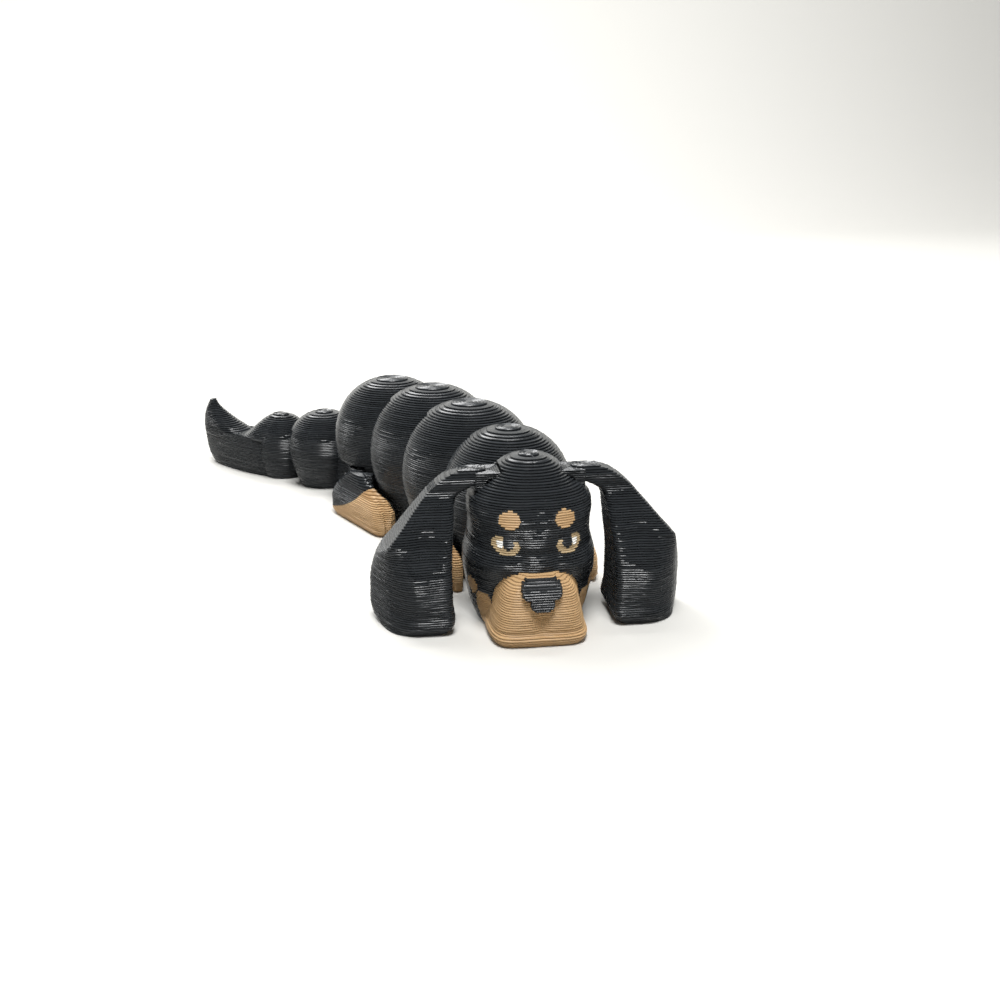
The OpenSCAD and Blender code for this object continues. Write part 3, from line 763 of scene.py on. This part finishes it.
def head_radius(way, z):
    """How far the head reaches from the skull's axis, for directions way at height z."""
    ahead, aside = np.cos(way), np.sin(way)
    side = curve(skull_side, z)
    reach = np.where(ahead > 0, curve(skull_front, z), curve(skull_back, z))
    power = 2.15 + 0.25 * math.exp(-((z - 11) / 1.8) ** 2)
    skull = (np.abs(ahead / reach) ** power + np.abs(aside / side) ** power) ** (-1 / power)
    x, f = skull * aside, skull * ahead
    facing = np.clip(ahead * 1.6, 0, 1)
    skull = skull + facing * (
        0.14 * hill(x, z, (3.0, 9.3), (1.1, 0.5), 0.15)
        - 0.32 * hill(x, z, (2.8, 8.2), (1.4, 1.0), 0.1)
        + 0.45 * hill(x, z, (2.75, 8.2), (0.9, 0.7))
        + 0.25 * hill(x, z, (3.9, 6.4), (1.4, 1.1))
        - 0.25 * hill(x, z, (1.7, 7.0), (0.7, 1.2))
        - 0.15 * hill(x, z, (0.0, 10.6), (0.7, 1.6)))
    if z < MUZZLE_TOP:
        half, tip = curve(muzzle_half, z), curve(muzzle_reach, z)
        square = 6.0
        box = (np.abs(np.clip(ahead, 1e-3, 1) / tip) ** square
               + np.abs(aside / half) ** square) ** (-1 / square)
        x = box * aside
        box = box + (0.14 * hill(x, z, (1.9, 2.4), (1.2, 1.1))
                     - 0.26 * hill(x, z, (0.0, 1.9), (0.45, 0.8)))
        box = np.where(ahead > 0.05, box, 0)
        blend = np.maximum(0.5 - np.abs(skull - box), 0) / 0.5
        skull = np.maximum(skull, box) + blend**2 * 0.5 / 4
    return skull + 0.45 * np.clip(nose_shape(skull * aside, z) * 4, 0, 1) * (ahead > 0)


def nose_shape(x, z):
    """Above zero on the nose: a broad upper part over a narrower lobe."""
    wings = 1 - np.abs(x / 1.78) ** 3 - np.abs((z - 4.95) / 0.95) ** 3
    lobe = 1 - np.abs(x / 1.1) ** 2.5 - np.abs((z - 3.85) / 0.7) ** 2.5
    return np.maximum(wings, lobe)


# %% The colours of the head
BROW = (2.4, 10.35)
EYE = (2.75, 8.22)
CHEEK = (2.2, 3.7)


def head_colours(way, z):
    """The name of the colour in each direction at height z."""
    r = head_radius(way, z)
    x, f = r * np.sin(way), r * np.cos(way)
    side = np.abs(x)
    colour = np.full(len(way), "shell", dtype=object)
    front = f > 0
    if z < MUZZLE_TOP:
        edge = curve(muzzle_half, z) + 0.12
        colour[front & (side < edge) & (f > 4.4)] = "muzzle"
    way_out = np.degrees(np.abs(way))
    jowl_top = 3.4 - ((way_out - 52) / 11) ** 4
    colour[front & (z < jowl_top) & (way_out > 34) & (way_out < 63)] = "muzzle"
    if z < 2.4:
        colour[front & (way_out < 62)] = "muzzle"
    colour[(nose_shape(x, z) > 0) & (f > 5)] = "nose"
    round_brow = ((side - BROW[0]) / 0.92) ** 2 + ((z - BROW[1]) / 0.75) ** 2 < 1
    nub = (np.abs(side - BROW[0] + 0.05) < 0.2) & (abs(z - BROW[1] - 0.72) < 0.1)
    colour[front & (round_brow | nub)] = "brow"
    cheek = ((f - CHEEK[0]) / 0.85) ** 2 + ((z - CHEEK[1]) / 0.82) ** 2 < 1
    colour[cheek & (side > 3)] = "cheek"
    out = side - EYE[0]
    up = z - EYE[1] - 0.1 * out
    lid = 0.62 + 0.15 * out
    eye = (out / 1.16) ** 2 + (up / 0.86) ** 2 < 1
    pupil = (out + 0.16) ** 2 + (up - 0.16) ** 2 < 0.5**2
    glint = ((out - 0.5) / 0.23) ** 2 + ((up - 0.06) / 0.34) ** 2 < 1
    eye &= front & (up < lid)
    colour[eye] = "eye"
    colour[eye & pupil] = "pupil"
    colour[eye & glint] = "glint"
    return colour


HEAD_LAYERS = round(HEAD_H / LAYER)
heights = (np.arange(HEAD_LAYERS) + 0.5) * LAYER
paint = np.array([head_colours(between_ways, z) for z in heights])
names, counts = np.unique(paint.astype(str), return_counts=True)
print("faces of each colour in a layer grid:", dict(zip(names.tolist(), counts.tolist())))

# %% [markdown]
# The shell steps back under a patch only where both neighbouring faces have the patch's
# colour, so the black reaches right up to every edge.

# %% The black shell
STEP_BACK = 0.7
PATCH = {"muzzle": 1.5, "nose": 1.0, "brow": 0.5, "cheek": 0.5, "eye": 0.5, "pupil": 0.55,
         "glint": 0.6}


def head_outline(z, stepped=True):
    """The head's outline; stepped, it goes back under the patches."""
    r = head_radius(face_way, z)
    if stepped:
        row = paint[min(HEAD_LAYERS - 1, int(z / LAYER))]
        depth = np.array([PATCH.get(colour, 0.0) for colour in row]) * STEP_BACK
        r = r - np.minimum(depth, np.roll(depth, 1))
    return np.column_stack([r * np.sin(face_way), -r * np.cos(face_way)])


head = printed(head_outline, 0, HEAD_H, "head_shell_print")
SKULL_AHEAD = (neck - skull_middle).length
combine(head, socket(*NECK_SOCKET, y=SKULL_AHEAD))
neck_room = meet(SKULL_R - 1, NECK_REACH, CHEST[0]) + SPINE_TURN + 2 * SPARE_TURN
combine(head, swing(NECK_REACH, *CHEST, neck_room, y=SKULL_AHEAD))
combine(head, post(PIN_R, FLOOR / 2, NECK_SOCKET[1], 0, SKULL_AHEAD), "UNION")


SLOT_TOP = 17


def ear_slot(z, side):
    """The slot that an ear's barrel turns in, open outwards and upwards."""
    rise = z - BARREL_Z
    reach = BARREL_R + GAP
    half = math.sqrt(max(0.09, reach**2 - rise**2))
    outer = FAR if z > SHOULDER else BARREL_X + half
    shape = block(BARREL_X - half, outer, -BARREL_L / 2 - GAP, BARREL_L / 2 + GAP)
    return on_side(shape, side)


for side in (1, -1):
    combine(head, printed(lambda z: ear_slot(z, side), BARREL_Z - BARREL_R - GAP,
                          SLOT_TOP, groove=-GROOVE))
    combine(head, lying_pin(EAR_PIN_R, BARREL_L + 2 * GAP + 1, side * BARREL_X), "UNION")
put(head, "head", "head", "black_filament", "head_shell")

# %% [markdown]
# A patch starts as the whole head grid. The faces of other colours are deleted, the rest is
# extruded inwards, and the open sheet becomes a closed tile that sits in the shell.

# %% Patches of the other colours
RINGS_PER_LAYER = len(STRING) + 1
head_places = printed_rings(lambda z: head_outline(z, False), 0, HEAD_H, treads=False)


def patch(colour, depth, name):
    """The closed tiles of one colour, which reach as far into the head as depth says."""
    bm = grid_through(head_places)
    others = []
    for face in bm.faces:
        row, column = divmod(min(v.index for v in face.verts), AROUND_HEAD + 1)
        if paint[min(HEAD_LAYERS - 1, row // RINGS_PER_LAYER)][column] != colour:
            others.append(face)
    bmesh.ops.delete(bm, geom=others, context="FACES")
    bmesh.ops.remove_doubles(bm, verts=bm.verts, dist=MERGE)
    inside = bmesh.ops.extrude_face_region(bm, geom=bm.faces[:], use_keep_orig=True)["geom"]
    for vertex in (v for v in inside if isinstance(v, bmesh.types.BMVert)):
        vertex.co.xy *= 1 - depth / vertex.co.xy.length
    bmesh.ops.recalc_face_normals(bm, faces=bm.faces)
    return as_piece(bm, name)


for colour, name, slot, node in (
        ("muzzle", "muzzle_print", "tan_filament", "muzzle"),
        ("nose", "nose_print", "black_filament", "nose"),
        ("brow", "brow_spots_print", "tan_filament", "brow_spots"),
        ("cheek", "cheek_spots_print", "tan_filament", "cheek_spots"),
        ("eye", "eye_rims", "ivory_filament", "eye_whites"),
        ("pupil", "pupils_print", "black_filament", "pupils"),
        ("glint", "glints", "white_filament", "eye_glints")):
    put(patch(colour, PATCH[colour], name), "head", "head", slot, node)

# %% [markdown]
# The nozzle pulls a few hair-thin strings when it moves from spot to spot. Each one follows
# the head a little way above the surface.

# %% Stray strings
HAIR_R = 0.018


def hair(path, name):
    """A thin tube through directions and heights on the head: way, z, distance off it."""
    middle = []
    for way, z, off in path:
        r = head_radius(np.array([way]), min(z, HEAD_H - 0.05))[0] + off
        middle.append((r * math.sin(way), -r * math.cos(way), z))
    middle = np.array(middle)
    along = np.gradient(middle, axis=0)
    along /= np.linalg.norm(along, axis=1, keepdims=True)
    aside = np.cross(along, (0.31, 0.17, 0.94))
    aside /= np.linalg.norm(aside, axis=1, keepdims=True)
    over = np.cross(along, aside)
    turn = np.arange(6) * math.pi / 3
    rings = [m + HAIR_R * (np.outer(np.cos(turn), a) + np.outer(np.sin(turn), o))
             for m, a, o in zip(middle, aside, over)]
    return as_piece(rolled(np.array(rings)), name)


share = np.linspace(0, 1, 40)
curl = np.column_stack([-0.29 + 0.05 * np.sin(9 * share) + 0.03 * share,
                        9.9 - 1.3 * share + 0.2 * np.cos(9 * share),
                        0.07 + 0.05 * np.sin(5 * share)])
line = np.column_stack([0.3 + 0.22 * share, 7.6 - 1.0 * share**1.3, 0.06 + 0.04 * share])
spike = np.column_stack([0.2 + 0 * share, 14.85 + 0.6 * share, 0.1 + 0.25 * share**2])
for path, name in ((curl, "curled_string"), (line, "straight_string"),
                   (spike, "crown_string")):
    put(hair(path, name), "head", "head", "black_filament")

# %% [markdown]
# ## Filament
#
# The toy is printed in PLA, a plastic with a soft gloss. Its index of refraction is about
# 1.46. Each layer cools a little differently, so colour and roughness shift from layer to
# layer, and the surface carries a fine grain from the nozzle, drawn at about 0.3 mm so that
# it shows.

# %% Materials
BLOTCH = 0.0022
GRAIN = 0.0003
GRAIN_DEPTH = 0.00002


def linear(colour):
    """A colour in sRGB hex as the linear values that Blender's sockets take."""
    parts = [int(colour[i:i + 2], 16) / 255 for i in (1, 3, 5)]
    return [p / 12.92 if p <= 0.04045 else ((p + 0.055) / 1.055) ** 2.4
            for p in parts] + [1.0]


def add(tree, kind, sockets=(), links=(), **settings):
    """One node, with its settings, socket values and incoming links."""
    node = tree.nodes.new("ShaderNode" + kind)
    for key, value in settings.items():
        setattr(node, key, value)
    for key, value in dict(sockets).items():
        node.inputs[key].default_value = value
    for key, output in dict(links).items():
        tree.links.new(output, node.inputs[key])
    return node


def filament(name, colour, worn, gloss, rougher):
    """Printed PLA whose colour and roughness shift from layer to layer and in blotches."""
    material = bpy.data.materials.new(name)
    material.use_nodes = True
    tree = material.node_tree
    tree.nodes.clear()
    place = add(tree, "TexCoord").outputs["Object"]
    split = add(tree, "SeparateXYZ", links={0: place})
    layer = add(tree, "Math", {1: 1 / (LAYER * MM)}, {0: split.outputs["Z"]},
                operation="MULTIPLY")
    layer = add(tree, "Math", links={0: layer.outputs[0]}, operation="FLOOR")
    shift = add(tree, "TexWhiteNoise", links={"W": layer.outputs[0]},
                noise_dimensions="1D")
    blotch = add(tree, "TexNoise", {"Scale": 1 / BLOTCH, "Detail": 3.0}, {"Vector": place})
    mixed = add(tree, "Math", {1: 0.5}, {0: shift.outputs["Value"]}, operation="MULTIPLY")
    mixed = add(tree, "Math", links={0: mixed.outputs[0], 1: blotch.outputs["Fac"]},
                operation="ADD")
    tone = add(tree, "Mix", {6: linear(colour), 7: linear(worn)},
               {0: mixed.outputs[0]}, data_type="RGBA")
    rough = add(tree, "MapRange", {"To Min": gloss, "To Max": rougher},
                {"Value": mixed.outputs[0]})
    grain = add(tree, "TexNoise", {"Scale": 1 / GRAIN, "Detail": 2.0}, {"Vector": place})
    bump = add(tree, "Bump", {"Strength": 0.25, "Distance": GRAIN_DEPTH},
               {"Height": grain.outputs["Fac"]})
    shader = add(tree, "BsdfPrincipled", {"IOR": 1.46},
                 {"Base Color": tone.outputs[2], "Roughness": rough.outputs["Result"],
                  "Normal": bump.outputs["Normal"]})
    add(tree, "OutputMaterial", links={"Surface": shader.outputs["BSDF"]})
    return material


finishes = {
    "black_filament": filament("black_pla_printed", "#1d1f21", "#2b2e31", 0.18, 0.3),
    "tan_filament": filament("tan_pla_printed", "#a6855c", "#bb9a70", 0.4, 0.52),
    "ivory_filament": filament("ivory_pla_printed", "#a8916c", "#bfa985", 0.4, 0.5),
    "white_filament": filament("white_pla_printed", "#efeeea", "#f6f5f1", 0.35, 0.45),
}
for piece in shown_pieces():
    key = piece.get("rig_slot")
    if piece.name in frame["nodes"] or key not in finishes:
        continue
    piece.data.materials.clear()
    piece.data.materials.append(finishes[key])

# %% [markdown]
# ## Floor, light and camera
#
# The toy stands on a pale sheet that curves up behind it, under a soft light from above and
# in front, with a wide one behind it that draws the rims, and one for the sheet.

# %% Floor
FLAT_RUN = 0.5
BEND_R = 0.25


def pale_paper():
    material = bpy.data.materials.new("pale_paper")
    material.use_nodes = True
    shader = material.node_tree.nodes["Principled BSDF"]
    shader.inputs["Base Color"].default_value = linear("#c6c5c1")
    shader.inputs["Roughness"].default_value = 0.8
    return material


bm = bmesh.new()
bmesh.ops.create_grid(bm, x_segments=8, y_segments=64, size=1.0)
for vertex in bm.verts:
    run = (vertex.co.y + 1) * 1.2 - 0.6
    bend = min(max(run - FLAT_RUN, 0) / BEND_R, math.pi / 2)
    rise = BEND_R * (1 - math.cos(bend)) + max(0.0, run - FLAT_RUN - BEND_R * math.pi / 2)
    flat = min(run, FLAT_RUN) + BEND_R * math.sin(bend)
    vertex.co = (vertex.co.x * 1.5, flat, rise)
floor = as_piece(bm, "pale_floor")
floor.data.shade_smooth()
floor.data.materials.append(pale_paper())

# %% Light
def soft_light(name, spot, aim, size, power):
    data = bpy.data.lights.new(name, "AREA")
    data.size, data.energy = size, power
    lamp = bpy.data.objects.new(name, data)
    lamp.location = spot
    lamp.rotation_euler = (Vector(aim) - Vector(spot)).to_track_quat("-Z", "Y").to_euler()
    bpy.context.scene.collection.objects.link(lamp)


soft_light("lamp_above", (0.0, -0.14, 0.64), (0, 0.01, 0), 0.24, 5.6)
soft_light("window_behind", (-0.25, 0.45, 0.5), (0, 0.02, 0), 0.4, 4.6)
soft_light("wall_light", (0.1, 0.3, 0.75), (0.15, 0.9, 0.3), 0.4, 5.0)
world = bpy.data.worlds.new("studio")
world.use_nodes = True
world.node_tree.nodes["Background"].inputs["Color"].default_value = linear("#f7f7f5")
world.node_tree.nodes["Background"].inputs["Strength"].default_value = 0.22
bpy.context.scene.world = world
bpy.context.scene.view_settings.view_transform = "Standard"

# %% Camera
yaw, pitch = math.radians(10.5), math.radians(-18)
look = Vector((math.sin(yaw) * math.cos(pitch), math.cos(yaw) * math.cos(pitch),
               math.sin(pitch)))
camera_data = bpy.data.cameras.new("camera")
camera_data.lens, camera_data.sensor_width = 36.9, 36.0
camera_data.clip_start = 0.005
camera = bpy.data.objects.new("camera", camera_data)
camera.location = Vector((-18.35, -94.64, 38.8)) * MM
camera.rotation_euler = look.to_track_quat("-Z", "Y").to_euler()
bpy.context.scene.collection.objects.link(camera)
bpy.context.scene.camera = camera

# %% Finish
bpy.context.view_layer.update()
print(f"built in {time.time() - started:.1f} s")
